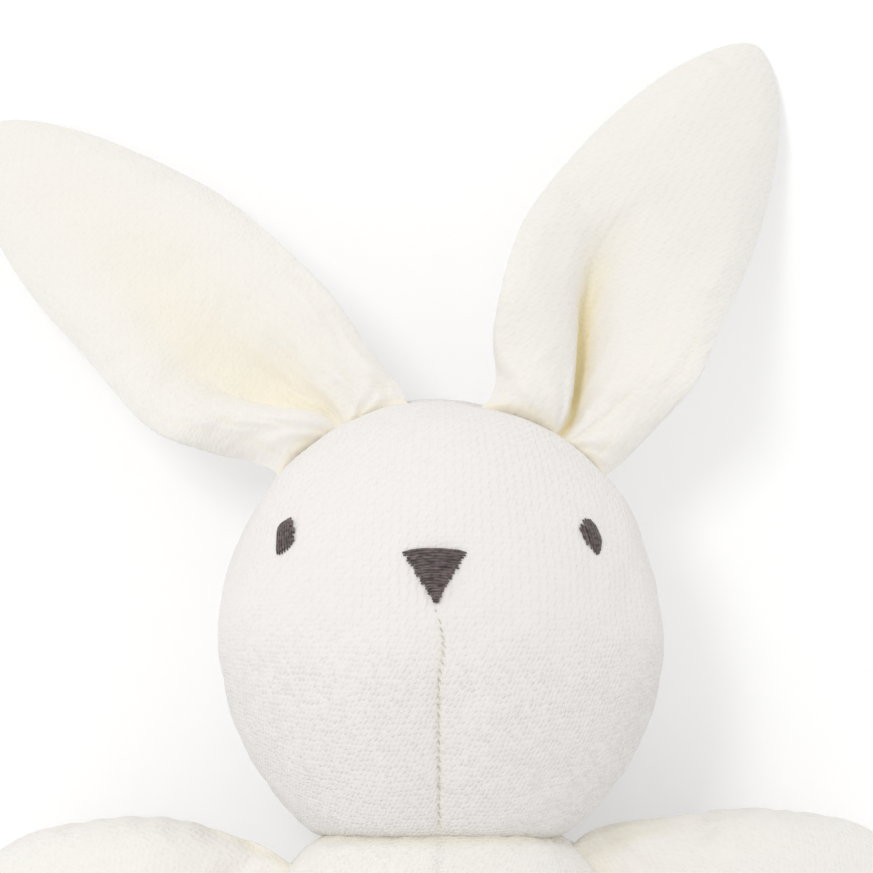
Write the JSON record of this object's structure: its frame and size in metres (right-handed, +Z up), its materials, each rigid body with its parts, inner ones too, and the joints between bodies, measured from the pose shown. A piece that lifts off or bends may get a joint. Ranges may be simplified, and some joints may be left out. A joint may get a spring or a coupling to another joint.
{
  "type": "plush rattle",
  "caption": "Stuffed velour bunny rattle lying on its back, with long folded ears, sewn limbs that flex at their seams and a bead capsule inside the torso.",
  "frame": {"origin": "middle of the flat that the torso's back rests on", "axes": "+Z up out of the face, +Y from the feet to the ears, +X to the viewer's right"},
  "size_m": [0.1517, 0.22, 0.0605],
  "materials": {
    "head_velour": "ribbed velour, short pile",
    "body_velour": "ribbed velour, short pile",
    "ear_velour": "ribbed velour, short pile",
    "ear_lining": "cream velour, short pile",
    "embroidery_thread": "satin stitch",
    "seam_thread": "sewing thread",
    "stuffing": "polyester wadding",
    "rattle_plastic": "moulded",
    "bead": "moulded"
  },
  "bodies": {
    "torso": {"torso_front_left_panel": "body_velour", "torso_front_right_panel": "body_velour", "torso_back_panel": "body_velour", "torso_stuffing_front": "stuffing", "torso_stuffing_back": "stuffing", "rattle_front_shell": "rattle_plastic", "rattle_back_shell": "rattle_plastic"},
    "head": {"head_face_panel": "head_velour", "head_back_panel": "head_velour", "head_stuffing": "stuffing", "nose_embroidery": "embroidery_thread", "left_eye_embroidery": "embroidery_thread", "right_eye_embroidery": "embroidery_thread", "chin_dart_thread": "seam_thread"},
    "left_ear": {"left_ear_lining": "ear_lining", "left_ear_back": "ear_velour", "left_ear_wadding": "stuffing"},
    "right_ear": {"right_ear_lining": "ear_lining", "right_ear_back": "ear_velour", "right_ear_wadding": "stuffing"},
    "left_arm": {"left_arm_front_panel": "body_velour", "left_arm_back_panel": "body_velour", "left_arm_stuffing": "stuffing"},
    "right_arm": {"right_arm_front_panel": "body_velour", "right_arm_back_panel": "body_velour", "right_arm_stuffing": "stuffing"},
    "left_leg": {"left_leg_front_panel": "body_velour", "left_leg_back_panel": "body_velour", "left_leg_stuffing": "stuffing"},
    "right_leg": {"right_leg_front_panel": "body_velour", "right_leg_back_panel": "body_velour", "right_leg_stuffing": "stuffing"},
    "bead_1": {"rattle_bead_1": "bead"},
    "bead_2": {"rattle_bead_2": "bead"},
    "bead_3": {"rattle_bead_3": "bead"},
    "bead_4": {"rattle_bead_4": "bead"},
    "bead_5": {"rattle_bead_5": "bead"}
  },
  "joints": [
    {"name": "head_turn", "type": "hinge", "parent": "torso", "child": "head", "pos_m": [0, 0.02596, 0.0295], "axis": [0, 1, 0], "range_deg": [-30, 30]},
    {"name": "left_ear_fold", "type": "hinge", "parent": "head", "child": "left_ear", "pos_m": [-0.01754, 0.09182, 0.0295], "axis": [0.8686, 0.4955, 0], "range_deg": [0, 60]},
    {"name": "left_arm_swing", "type": "hinge", "parent": "torso", "child": "left_arm", "pos_m": [-0.02948, 0.01671, 0.0259], "axis": [0.4097, 0.9122, 0], "range_deg": [0, 75]},
    {"name": "left_leg_swing", "type": "hinge", "parent": "torso", "child": "left_leg", "pos_m": [-0.01462, -0.03182, 0.0235], "axis": [-0.9107, 0.4132, 0], "range_deg": [0, 75]},
    {"name": "right_ear_fold", "type": "hinge", "parent": "head", "child": "right_ear", "pos_m": [0.01754, 0.09182, 0.0295], "axis": [0.8686, -0.4955, 0], "range_deg": [0, 60]},
    {"name": "right_arm_swing", "type": "hinge", "parent": "torso", "child": "right_arm", "pos_m": [0.02948, 0.01671, 0.0259], "axis": [0.4097, -0.9122, 0], "range_deg": [0, 75]},
    {"name": "right_leg_swing", "type": "hinge", "parent": "torso", "child": "right_leg", "pos_m": [0.01462, -0.03182, 0.0235], "axis": [-0.9107, -0.4132, 0], "range_deg": [0, 75]},
    {"name": "bead_1_slide", "type": "slide", "parent": "torso", "child": "bead_1", "axis": [0, 0, 1], "range_m": [0, 0.02115]},
    {"name": "bead_2_slide", "type": "slide", "parent": "torso", "child": "bead_2", "axis": [0, 0, 1], "range_m": [0, 0.01769]},
    {"name": "bead_3_slide", "type": "slide", "parent": "torso", "child": "bead_3", "axis": [0, 0, 1], "range_m": [0, 0.01769]},
    {"name": "bead_4_slide", "type": "slide", "parent": "torso", "child": "bead_4", "axis": [0, 0, 1], "range_m": [0, 0.01769]},
    {"name": "bead_5_slide", "type": "slide", "parent": "torso", "child": "bead_5", "axis": [0, 0, 1], "range_m": [0, 0.01769]}
  ]
}
